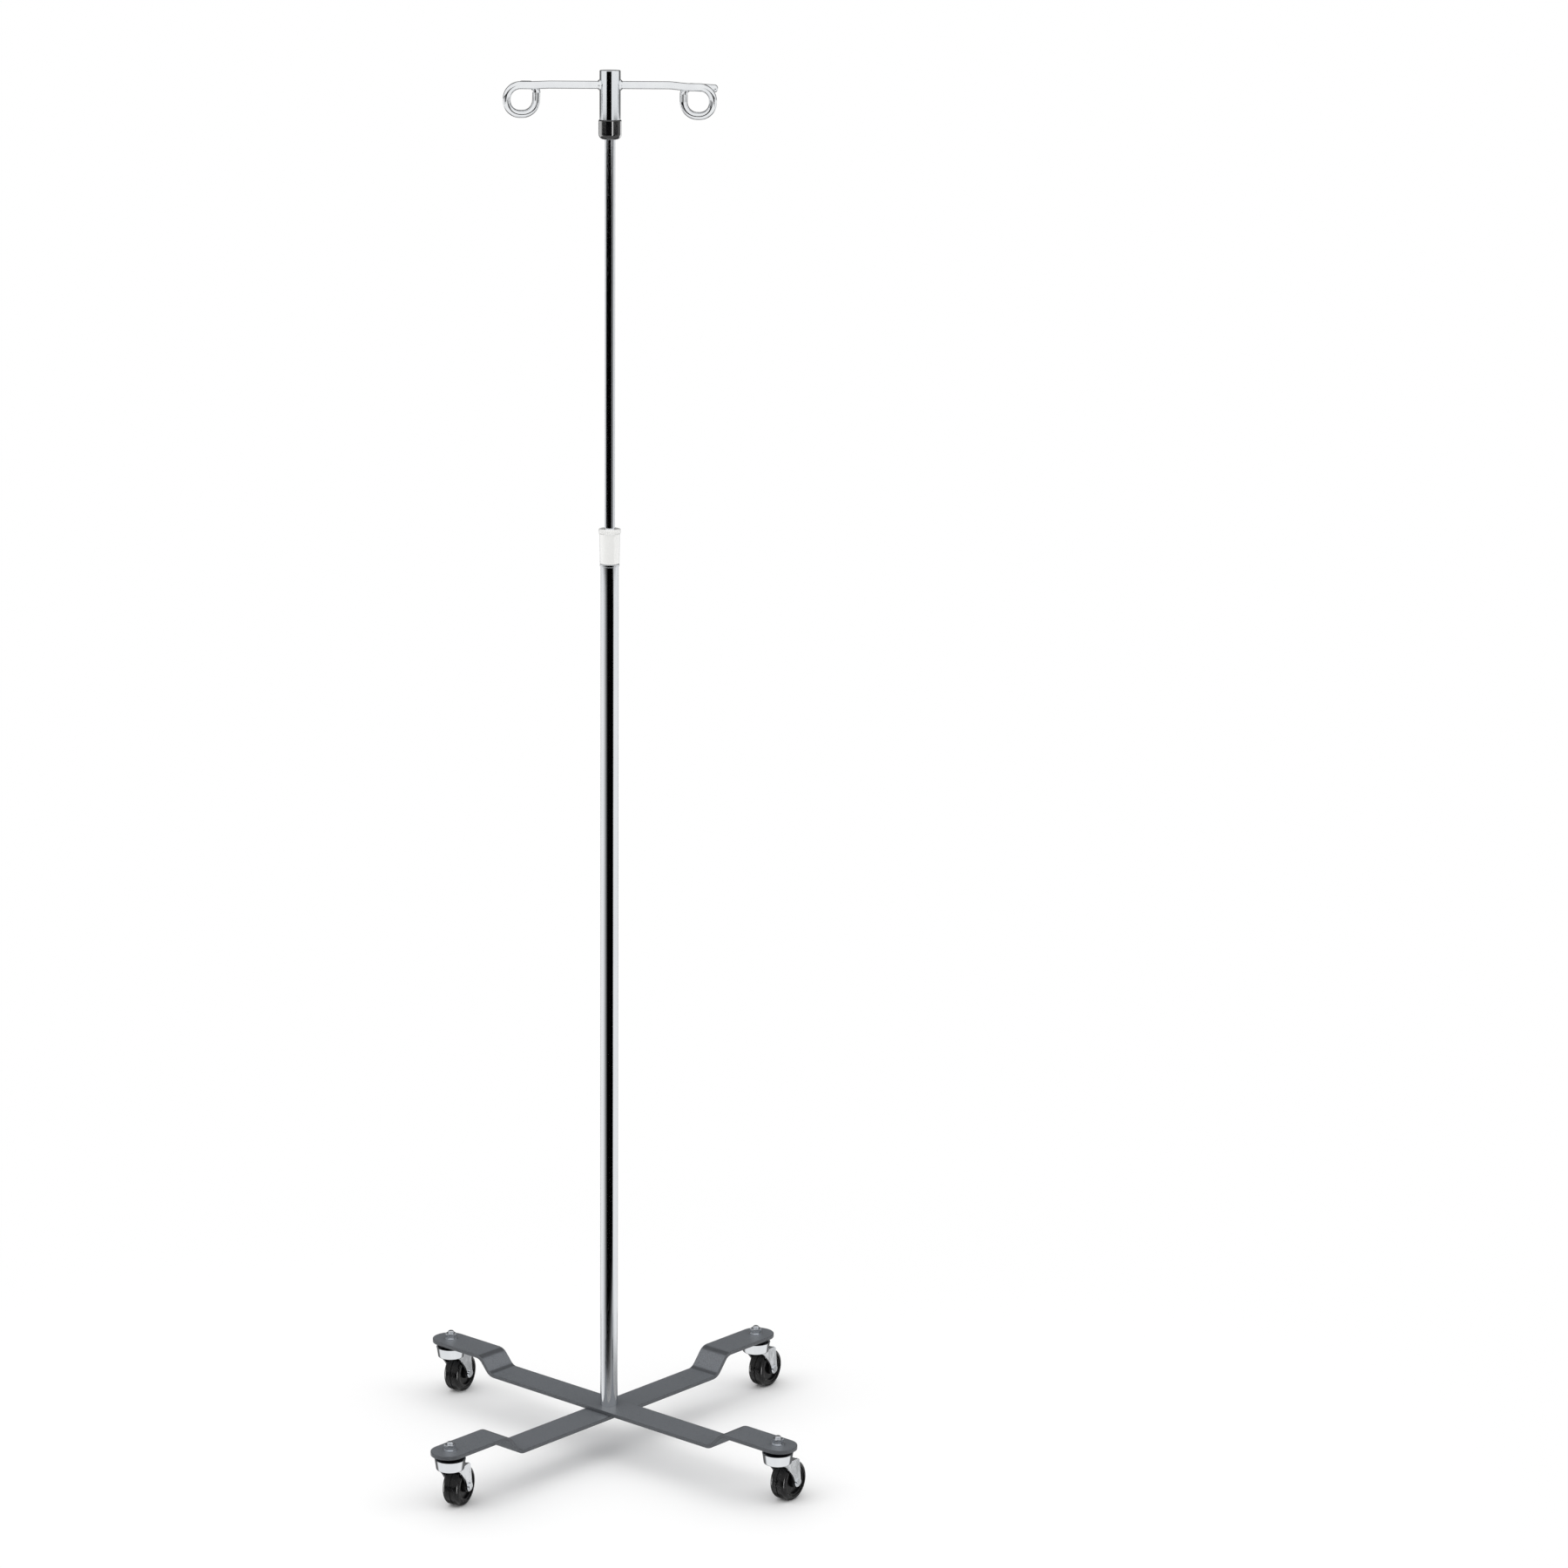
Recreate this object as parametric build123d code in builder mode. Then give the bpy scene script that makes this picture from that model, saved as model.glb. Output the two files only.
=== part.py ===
"""Rolling drip stand: a telescoping two-hook pole on a crossed flat-bar base with four swivel casters.

Millimetres. +Z is up, the origin is on the floor under the pole's axis, and the hook arms lie along X.
The pole is shown partly raised. The base bars cross on the diagonals, so the casters stand at the
corners of a square.
"""

from math import cos, pi, radians, sin
import os

from build123d import *

# ---------------------------------------------------------------- overall sizes
overall_height = 1765.0  # floor to the top of the head cap, with the pole as drawn
stem_radius = 289.0  # pole axis to caster stem

# ---------------------------------------------------------------- fits
press_gap = 0.05  # round pieces that are pressed, welded or bonded together
slide_gap = 0.1  # rod in its collet, bushes on shafts
run_gap = 0.3  # running faces side by side

# ---------------------------------------------------------------- base bars
bar_width = 44.45
bar_thickness = 4.76
bar_joggle = 20.4  # how far a bar's raised end stands above the crossing
bar_end_overhang = 3.0  # stem centre to the centre of the bar's round end
bar_bend_radius = 16.0  # centreline radius of each joggle bend
upper_ramp = (195.0, 213.0)  # where the upper bar starts and stops climbing, from the pole axis
lower_ramp = (186.0, 207.0)
bar_edge_round = 0.6
edge_break = 0.5  # small rounds on turned pieces
lead_in = 1.0  # chamfer on the end of a bolt, stem or bush

# ---------------------------------------------------------------- pole
tube_diameter = 22.22
tube_wall = 1.24
tube_length = 1099.0
tube_rim_round = 0.5
rod_diameter = 12.7
rod_wall = 1.2
rod_length = 1138.0
rod_end_below_arms = 4.0
foot_plug_length = 30.0
centre_bolt_diameter = 7.9
centre_bolt_end_gap = 6.0  # bolt's end to the top of the foot plug
centre_washer_diameter = 28.0
centre_washer_thickness = 2.0
hex_across_flats = 12.7  # every hex on the stand takes the same spanner
bolt_head_height = 5.3

# ---------------------------------------------------------------- twist lock
ferrule_spigot_length = 30.0
ferrule_flange_diameter = 24.0
ferrule_flange_thickness = 3.0
ferrule_neck_diameter = 18.0
ferrule_neck_length = 20.0
ferrule_rivet_diameter = 3.2
ferrule_rivet_head_height = 0.8
ferrule_rivet_end_gap = 0.4  # short of the bore the rod slides in
ferrule_rivet_drop = 15.0  # below the tube's rim
collet_length = 12.0
collet_top_diameter = 15.6
collet_slit = 1.2
collet_hem = 3.0  # straight part below the cone
lock_ring_height = 43.7
lock_ring_diameter = 25.0
lock_ring_foot_diameter = 24.0
lock_flange_diameter = 27.5
lock_flange_height = 5.0
lock_flange_flare = 1.5
lock_rim_round = 1.6
lock_hem_round = 0.8
lock_grip_count = 28
lock_grip_radius = 0.9

# ---------------------------------------------------------------- sliding end of the rod
journal_diameter = 8.0
journal_length = 22.0
plug_flange_thickness = 2.0
rod_plug_depth = 18.0
glide_washer_diameter = 14.0
glide_washer_thickness = 1.5
glide_screw_diameter = 4.0
glide_screw_length = 16.0
glide_screw_head_diameter = 7.6
glide_screw_head_height = 3.0

# ---------------------------------------------------------------- head and hooks
head_diameter = 25.4
head_wall = 1.5
head_cap_thickness = 1.5
head_cap_spigot = 8.0
head_cap_round = 0.9
head_sleeve_length = 57.8
bushing_diameter = 28.0
bushing_height = 23.7
bushing_foot_round = 6.5
bushing_lip_round = 1.5
bushing_spigot = 16.0
set_screw_diameter = 5.0
set_screw_inset = 0.6
set_screw_socket = 2.5  # across flats, and as deep
set_screw_place = 0.55  # of the way up the bushing
arm_diameter = 9.5
arm_end_gap = 0.4  # an arm's end to the sleeve's bore
arm_drop_from_top = 17.7  # top of the cap to the centre of an arm where it leaves the sleeve
loop_centre_reach = 107.5  # pole axis to the centre of a loop
loop_size = 35.0  # centreline, across a loop
loop_bend_radius = 16.8  # centreline, at each of a loop's rounded corners
loop_lead = 13.5  # how far the coil stands behind the arm once it has gone round
loop_end_bend_radius = 9.0  # the bend that turns the coil's end outwards, behind the arm
set_down_run = 21.0  # length of arm over which it is set down
set_down_share = 0.2  # how much of that lies past the start of the loop
set_down_bend_radius = 60.0
tip_round = 4.0
weld_leg = 2.2
weld_slope = 40.0
# For each hook, its side of the pole, how far its arm is set down on the way out, how far the
# coil's inner side leans towards the pole, and its tip, outwards and up from the coil's top.
hooks = {
    "hook_left": (-1, 0.8, 1.5, (3.0, 0.0)),
    "hook_right": (1, 2.2, 0.0, (24.0, -2.2)),
}

# ---------------------------------------------------------------- casters
wheel_diameter = 50.8
tyre_width = 23.0
tyre_shoulder_round = 5.2
tyre_section = 6.4
tyre_groove_width = 1.6
tyre_groove_depth = 0.8
caster_trail = 22.8  # stem axis to axle
fork_sheet = 2.5
fork_side_gap = 1.5  # tyre to the inside of a fork leg
fork_tip_radius = 6.5
fork_heel = 26.0  # stem axis to the back edge of a leg, where it meets the crown
fork_heel_round = 5.0
fork_front = 7.0  # how far in front of the stem axis a leg's front edge starts
fork_waist = (2.5, 7.5)  # a point on that edge: behind the stem axis, and below the crown
crown_gap = 3.7  # top of the wheel to the underside of the fork's crown
cup_foot_diameter = 35.0
cup_rim_diameter = 39.0
cup_wall = 2.0
cup_height = 13.5  # crown's underside to the cup's rim
ball_diameter = 4.76
ball_circle_radius = 11.5
ball_count = 12
race_neck_diameter = 24.0
race_neck_height = 2.0
race_neck_length = 6.24  # cup's rim to the underside of the bar
stem_diameter = 7.9
stem_rivet_diameter = 13.0
stem_rivet_height = 2.0
stem_end_above_nut = 3.0
fork_foot_round = 1.6  # where the cup turns into the crown
race_rim_height = 1.0
nut_height = 6.8
nut_washer_thickness = 1.2
nut_washer_diameter = 17.5
axle_diameter = 6.0
axle_head_diameter = 9.5
axle_head_height = 1.6
axle_sleeve_wall = 1.2
hub_boss_diameter = 15.0
hub_web_thickness = 15.0
hub_rim_wall = 3.2
hub_draft = 1.0
hub_rim_inset = 1.0  # tyre's side to the hub rim's side
hub_rim_slope = 0.8
nut_chamfer_flat = 0.3
nut_chamfer_slope = 0.6
# Each caster's name, the corner it stands at, and which way it trails, in degrees from +X.
casters = {
    "rear_right": (45.0, 52.0),
    "rear_left": (135.0, 59.0),
    "front_left": (225.0, 63.0),
    "front_right": (315.0, 50.0),
}

# ---------------------------------------------------------------- heights worked out from the above
axle_height = wheel_diameter / 2
crown_height = wheel_diameter + crown_gap
cup_rim = crown_height + cup_height
pad_underside = cup_rim + race_neck_length
pad_height = pad_underside + bar_thickness
crossing_height = pad_height - bar_joggle  # floor to the top face of the upper bar
tube_top = crossing_height + tube_length
tube_bore = tube_diameter - 2 * tube_wall
rod_bore = rod_diameter - 2 * rod_wall
guide_bore = rod_diameter + 2 * slide_gap
upper_bar_underside = crossing_height - bar_thickness
lower_bar_underside = upper_bar_underside - bar_thickness
sleeve_top = overall_height - head_cap_thickness
sleeve_foot = sleeve_top - head_sleeve_length
head_bore = head_diameter - 2 * head_wall
arm_height = overall_height - arm_drop_from_top
rod_top = arm_height - arm_diameter / 2 - rod_end_below_arms
rod_foot = rod_top - rod_length
neck_top = tube_top + ferrule_flange_thickness + ferrule_neck_length
lock_ring_foot = tube_top + ferrule_flange_thickness + run_gap
lock_ring_top = lock_ring_foot + lock_ring_height
race_foot = crown_height + fork_sheet + ball_diameter + run_gap
race_diameter = cup_rim_diameter - 2 * cup_wall - 4 * run_gap
stem_flange_foot = cup_rim + race_neck_height
fork_inside = tyre_width / 2 + fork_side_gap
fork_outside = fork_inside + fork_sheet
hub_diameter = wheel_diameter - 2 * tyre_section

os.makedirs("parts", exist_ok=True)


def save(part, name):
    """Labels a finished piece and writes it as its own file."""
    part.label = name
    export_step(part, f"parts/{name}.step")


def upright(degrees):
    """The vertical plane through the pole's axis whose local x points out at that angle."""
    turn = radians(degrees)
    return Plane(origin=(0, 0, 0), x_dir=(cos(turn), sin(turn), 0), z_dir=(sin(turn), -cos(turn), 0))


def corner(degrees):
    """A caster stem's axis on the floor, for the corner at that angle."""
    return (stem_radius * cos(radians(degrees)), stem_radius * sin(radians(degrees)))


def annulus(outer, inner):
    """A flat ring, drawn in the sketch it is called from."""
    Circle(outer / 2)
    Circle(inner / 2, mode=Mode.SUBTRACT)


# ================================================================ base
def leg_bar(degrees, top, ramp):
    """A flat bar through the crossing, joggled up near both ends to its round caster pads."""
    middle = top - bar_thickness / 2
    pad_middle = pad_height - bar_thickness / 2
    end = stem_radius + bar_end_overhang
    out = [(end + bar_width, pad_middle), (ramp[1], pad_middle), (ramp[0], middle)]
    side = upright(degrees)
    with BuildPart() as bar:
        with BuildSketch(side):
            with BuildLine():
                FilletPolyline(*out, *[(-x, z) for x, z in reversed(out)], radius=bar_bend_radius)
            trace(line_width=bar_thickness)
        extrude(amount=bar_width / 2, both=True)
        with BuildSketch(Plane(origin=(0, 0, 0), x_dir=side.x_dir, z_dir=(0, 0, 1))):
            SlotCenterToCenter(2 * end, bar_width)
        extrude(amount=pad_height + bar_thickness, mode=Mode.INTERSECT)
        along = bar.edges().filter_by(lambda e: e.length > bar_width)
        fillet(along, bar_edge_round)
        with Locations(*[(*corner(degrees + flip), pad_height) for flip in (0, 180)]):
            Hole(stem_diameter / 2 + press_gap, depth=2 * bar_thickness)
        with Locations((0, 0, top)):
            Hole(centre_bolt_diameter / 2 + press_gap, depth=2 * bar_thickness)
    return bar


save(leg_bar(135, crossing_height, upper_ramp).part, "leg_bar_upper")
save(leg_bar(45, upper_bar_underside, lower_ramp).part, "leg_bar_lower")

washer_foot = lower_bar_underside - centre_washer_thickness
with BuildPart() as centre_washer:
    with BuildSketch(Plane.XY.offset(washer_foot)):
        annulus(centre_washer_diameter, centre_bolt_diameter + 2 * press_gap)
    extrude(amount=centre_washer_thickness)
save(centre_washer.part, "centre_washer")

bolt_reach = crossing_height + foot_plug_length - centre_bolt_end_gap
with BuildPart() as centre_bolt:
    with BuildSketch(Plane.XY.offset(washer_foot)):
        RegularPolygon(hex_across_flats / 2, 6, major_radius=False)
    extrude(amount=-bolt_head_height)
    with BuildSketch(Plane.XY.offset(washer_foot)):
        Circle(centre_bolt_diameter / 2)
    extrude(amount=bolt_reach - washer_foot)
    chamfer(centre_bolt.faces().sort_by(Axis.Z)[-1].edges(), lead_in)
save(centre_bolt.part, "centre_bolt")

with BuildPart() as foot_plug:
    with BuildSketch(Plane.XY.offset(crossing_height)):
        annulus(tube_bore - 2 * press_gap, centre_bolt_diameter + 2 * press_gap)
    extrude(amount=foot_plug_length)
    chamfer(foot_plug.faces().sort_by(Axis.Z)[-1].outer_wire().edges(), lead_in)
save(foot_plug.part, "tube_foot_plug")

# ================================================================ lower tube
rivet_height = tube_top - ferrule_rivet_drop
with BuildPart() as lower_tube:
    with BuildSketch(Plane.XY.offset(crossing_height)):
        annulus(tube_diameter, tube_bore)
    extrude(amount=tube_length)
    fillet(lower_tube.faces().sort_by(Axis.Z)[-1].outer_wire().edges(), tube_rim_round)
    with BuildSketch(Plane(origin=(0, 0, rivet_height), z_dir=(0, 1, 0))):
        Circle(ferrule_rivet_diameter / 2 + press_gap)
    extrude(amount=tube_diameter, mode=Mode.SUBTRACT)
save(lower_tube.part, "lower_tube")

# ================================================================ twist lock
ferrule_foot = tube_top - ferrule_spigot_length
with BuildPart() as ferrule:
    with BuildSketch(Plane.XY.offset(ferrule_foot)):
        Circle(tube_bore / 2 - press_gap)
    extrude(amount=ferrule_spigot_length)
    with BuildSketch(Plane.XY.offset(tube_top)):
        Circle(ferrule_flange_diameter / 2)
    extrude(amount=ferrule_flange_thickness)
    fillet(ferrule.faces().filter_by(Axis.Z).sort_by(Axis.Z)[-1].edges(), edge_break)
    with BuildSketch(Plane.XY.offset(tube_top + ferrule_flange_thickness)):
        Circle(ferrule_neck_diameter / 2)
    extrude(amount=ferrule_neck_length)
    with BuildSketch(Plane.XY.offset(ferrule_foot)):
        Circle(guide_bore / 2)
    extrude(amount=neck_top - ferrule_foot, mode=Mode.SUBTRACT)
    with BuildSketch(Plane(origin=(0, 0, rivet_height), z_dir=(0, 1, 0))):
        Circle(ferrule_rivet_diameter / 2 + press_gap)
    extrude(amount=tube_diameter, mode=Mode.SUBTRACT)
save(ferrule.part, "lock_ferrule")

with BuildPart() as rivet:
    shank_end = guide_bore / 2 + ferrule_rivet_end_gap
    with BuildSketch(Plane(origin=(0, shank_end, rivet_height), z_dir=(0, 1, 0))):
        Circle(ferrule_rivet_diameter / 2)
    extrude(amount=(tube_diameter - guide_bore) / 2)
    with BuildSketch(Plane(origin=(0, tube_diameter / 2 + press_gap, rivet_height), z_dir=(0, 1, 0))):
        Circle(ferrule_rivet_diameter)
    extrude(amount=ferrule_rivet_head_height)
    fillet(rivet.faces().sort_by(Axis.Y)[-1].edges(), edge_break)
save(rivet.part, "ferrule_rivet")

with BuildPart() as collet:
    with BuildSketch(Plane.XZ):
        with BuildLine():
            foot = neck_top
            head = neck_top + collet_length
            Polyline(
                (guide_bore / 2, foot),
                (ferrule_neck_diameter / 2, foot),
                (ferrule_neck_diameter / 2, foot + collet_hem),
                (collet_top_diameter / 2, head),
                (guide_bore / 2, head),
                close=True,
            )
        make_face()
    revolve(axis=Axis.Z)
    with Locations((0, tube_diameter / 2, neck_top + collet_length / 2)):
        Box(collet_slit, tube_diameter, 2 * collet_length, mode=Mode.SUBTRACT)
save(collet.part, "lock_collet")

with BuildPart() as lock_ring:
    outer_foot = lock_ring_foot_diameter / 2
    outer_body = lock_ring_diameter / 2
    flange = lock_flange_diameter / 2
    shoulder = lock_ring_top - lock_flange_height
    neck_clear = ferrule_neck_diameter / 2 + run_gap
    cone_clear = collet_top_diameter / 2 + run_gap
    top_bore = rod_diameter / 2 + run_gap
    collet_head = neck_top + collet_length + run_gap
    with BuildSketch(Plane.XZ):
        with BuildLine():
            Polyline(
                (neck_clear, lock_ring_foot),
                (outer_foot, lock_ring_foot),
                (outer_body, shoulder - lock_flange_flare),
                (flange, shoulder),
                (flange, lock_ring_top),
                (top_bore, lock_ring_top),
                (top_bore, collet_head),
                (cone_clear, collet_head),
                (neck_clear, neck_top + collet_hem),
                close=True,
            )
        make_face()
    revolve(axis=Axis.Z)
    circles = lock_ring.edges().filter_by(GeomType.CIRCLE)
    rim = circles.filter_by(lambda edge: abs(edge.radius - flange) < 0.01)
    fillet(rim.sort_by(Axis.Z)[-1], lock_rim_round)
    hem = lock_ring.edges().filter_by(GeomType.CIRCLE).filter_by(
        lambda edge: abs(edge.radius - outer_foot) < 0.01
    )
    fillet(hem, lock_hem_round)
    with BuildSketch(Plane.XY.offset(lock_ring_top)):
        with PolarLocations(flange + lock_grip_radius / 2, lock_grip_count):
            Circle(lock_grip_radius)
    extrude(amount=-lock_flange_height, mode=Mode.SUBTRACT)
save(lock_ring.part, "lock_ring")

# ================================================================ rod and its sliding end
with BuildPart() as inner_rod:
    with BuildSketch(Plane.XY.offset(rod_foot)):
        annulus(rod_diameter, rod_bore)
    extrude(amount=rod_length)
save(inner_rod.part, "inner_rod")

journal_foot = rod_foot - plug_flange_thickness - journal_length
with BuildPart() as end_plug:
    with BuildSketch(Plane.XY.offset(rod_foot)):
        Circle(rod_bore / 2 - press_gap)
    extrude(amount=rod_plug_depth)
    with BuildSketch(Plane.XY.offset(rod_foot)):
        Circle(rod_diameter / 2)
    extrude(amount=-plug_flange_thickness)
    with BuildSketch(Plane.XY.offset(journal_foot)):
        Circle(journal_diameter / 2)
    extrude(amount=journal_length)
    with Locations((0, 0, journal_foot)):
        with Locations(Rotation(180, 0, 0)):
            Hole(glide_screw_diameter / 2 + press_gap, depth=glide_screw_length)
save(end_plug.part, "rod_end_plug")

with BuildPart() as glide_bush:
    with BuildSketch(Plane.XY.offset(journal_foot + run_gap)):
        annulus(tube_bore - 2 * slide_gap, journal_diameter + 2 * slide_gap)
    extrude(amount=journal_length - 2 * run_gap)
    ends = glide_bush.faces().filter_by(Axis.Z)
    chamfer([face.outer_wire().edges() for face in ends], lead_in)
save(glide_bush.part, "glide_bush")

glide_washer_foot = journal_foot - glide_washer_thickness
with BuildPart() as glide_washer:
    with BuildSketch(Plane.XY.offset(glide_washer_foot)):
        annulus(glide_washer_diameter, glide_screw_diameter + 2 * press_gap)
    extrude(amount=glide_washer_thickness)
save(glide_washer.part, "glide_washer")

with BuildPart() as glide_screw:
    with BuildSketch(Plane.XY.offset(glide_washer_foot)):
        Circle(glide_screw_head_diameter / 2)
    extrude(amount=-glide_screw_head_height)
    fillet(glide_screw.faces().sort_by(Axis.Z)[0].edges(), lead_in)
    with BuildSketch(Plane.XY.offset(glide_washer_foot)):
        Circle(glide_screw_diameter / 2)
    extrude(amount=glide_screw_length - lead_in)
save(glide_screw.part, "glide_screw")

# ================================================================ head
with BuildPart() as head_sleeve:
    with BuildSketch(Plane.XY.offset(sleeve_foot)):
        annulus(head_diameter, head_bore)
    extrude(amount=head_sleeve_length)
    with BuildSketch(Plane.YZ):
        with Locations((0, arm_height)):
            Circle(arm_diameter / 2 + press_gap)
    extrude(amount=head_diameter, both=True, mode=Mode.SUBTRACT)
save(head_sleeve.part, "head_sleeve")

bushing_foot = sleeve_foot - bushing_height
screw_height = bushing_foot + bushing_height * set_screw_place
with BuildPart() as head_bushing:
    with BuildSketch(Plane.XY.offset(bushing_foot)):
        Circle(bushing_diameter / 2)
    extrude(amount=bushing_height)
    fillet(head_bushing.faces().sort_by(Axis.Z)[0].edges(), bushing_foot_round)
    fillet(head_bushing.faces().sort_by(Axis.Z)[-1].edges(), bushing_lip_round)
    with BuildSketch(Plane.XY.offset(sleeve_foot)):
        Circle(head_bore / 2 - press_gap)
    extrude(amount=bushing_spigot)
    with BuildSketch(Plane.XY.offset(bushing_foot)):
        Circle(rod_diameter / 2 + press_gap)
    extrude(amount=bushing_height + bushing_spigot, mode=Mode.SUBTRACT)
    with BuildSketch(Plane(origin=(0, 0, screw_height), z_dir=(0, 1, 0))):
        Circle(set_screw_diameter / 2 + press_gap)
    extrude(amount=bushing_diameter, mode=Mode.SUBTRACT)
save(head_bushing.part, "head_bushing")

with BuildPart() as set_screw:
    with BuildSketch(Plane(origin=(0, rod_diameter / 2 + press_gap, screw_height), z_dir=(0, 1, 0))):
        Circle(set_screw_diameter / 2)
    extrude(amount=(bushing_diameter - rod_diameter) / 2 - set_screw_inset)
    with BuildSketch(Plane(set_screw.faces().sort_by(Axis.Y)[-1])):
        RegularPolygon(set_screw_socket / 2, 6, major_radius=False)
    extrude(amount=-set_screw_socket, mode=Mode.SUBTRACT)
save(set_screw.part, "head_set_screw")

with BuildPart() as head_cap:
    with BuildSketch(Plane.XY.offset(sleeve_top)):
        Circle(head_diameter / 2)
    extrude(amount=head_cap_thickness)
    fillet(head_cap.faces().sort_by(Axis.Z)[-1].edges(), head_cap_round)
    with BuildSketch(Plane.XY.offset(sleeve_top)):
        Circle(head_bore / 2 - press_gap)
    extrude(amount=-head_cap_spigot)
save(head_cap.part, "head_cap")


def hook(side, drop, lean, tip_run):
    """A round bar welded into the sleeve's side, set down on its way out and coiled once.

    The coil starts as the arm's tangent and goes over the outside, under and up again behind the
    arm, clear of it by the lead, so that a bag's eye can be turned in through the gap. The bar's
    end then bends outwards along the arm.
    """
    start = head_bore / 2 + arm_end_gap
    inner = loop_centre_reach - loop_size / 2
    outer = loop_centre_reach + loop_size / 2
    top = arm_height - drop
    bottom = top - loop_size
    end = (loop_centre_reach + tip_run[0], loop_lead, top + tip_run[1])
    route = [
        (start, 0, arm_height),
        (inner - set_down_run * (1 - set_down_share), 0, arm_height),
        (inner + set_down_run * set_down_share, 0, top),
        (outer, 0, top),
        (outer, loop_lead / 2, bottom),
        (inner, loop_lead, bottom),
        (inner - lean, loop_lead, top),
        end,
    ]
    bends = [set_down_bend_radius] * 2 + [loop_bend_radius] * 3 + [loop_end_bend_radius]
    with BuildPart() as bar:
        bead = arm_diameter / 2 + weld_leg
        sleeve_side = head_diameter / 2
        with BuildSketch(Plane(origin=(side * sleeve_side, 0, arm_height), z_dir=(side, 0, 0))):
            Circle(bead)
        extrude(amount=-(head_diameter - head_bore) / 2 - weld_leg)
        with BuildSketch(Plane(origin=(side * sleeve_side, 0, arm_height), z_dir=(side, 0, 0))):
            Circle(bead)
        extrude(amount=weld_leg, taper=weld_slope)
        with BuildSketch(Plane.XY.offset(arm_height - 2 * bead)):
            Circle(sleeve_side + press_gap)
        extrude(amount=4 * bead, mode=Mode.SUBTRACT)
        with BuildLine():
            FilletPolyline(*[(side * x, y, z) for x, y, z in route], radius=bends)
        with BuildSketch(Plane(origin=(side * start, 0, arm_height), z_dir=(side, 0, 0))):
            Circle(arm_diameter / 2)
        sweep()
        tip_place = Vector(side * end[0], end[1], end[2])
        tip = bar.faces().sort_by(lambda face: (face.center() - tip_place).length)[0]
        fillet(tip.edges(), tip_round)
    return bar


for hook_name, shape in hooks.items():
    save(hook(*shape).part, hook_name)

# ================================================================ caster fasteners on the bars
nut_foot = pad_height + nut_washer_thickness
corners = [(*corner(place), 0) for place, _ in casters.values()]
with BuildPart() as nut_washers:
    with BuildSketch(Plane.XY.offset(pad_height)):
        with Locations(*corners):
            annulus(nut_washer_diameter, stem_diameter + 2 * press_gap)
    extrude(amount=nut_washer_thickness)
save(nut_washers.part, "caster_washers")

with BuildPart() as nut:
    hex_corner = hex_across_flats / 3**0.5
    with BuildSketch(Plane.XY.offset(nut_foot)):
        RegularPolygon(hex_across_flats / 2, 6, major_radius=False)
        Circle(stem_diameter / 2 + press_gap, mode=Mode.SUBTRACT)
    extrude(amount=nut_height)
    with BuildSketch(Plane.XZ):
        with BuildLine():
            crown_edge = hex_across_flats / 2 - nut_chamfer_flat
            Polyline(
                (0, nut_foot),
                (hex_corner, nut_foot),
                (hex_corner, nut_foot + nut_height - (hex_corner - crown_edge) * nut_chamfer_slope),
                (crown_edge, nut_foot + nut_height),
                (0, nut_foot + nut_height),
                close=True,
            )
        make_face()
    revolve(axis=Axis.Z, mode=Mode.INTERSECT)

with BuildPart() as nuts:
    with Locations(*corners):
        add(nut.part)
save(nuts.part, "caster_nuts")


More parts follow.
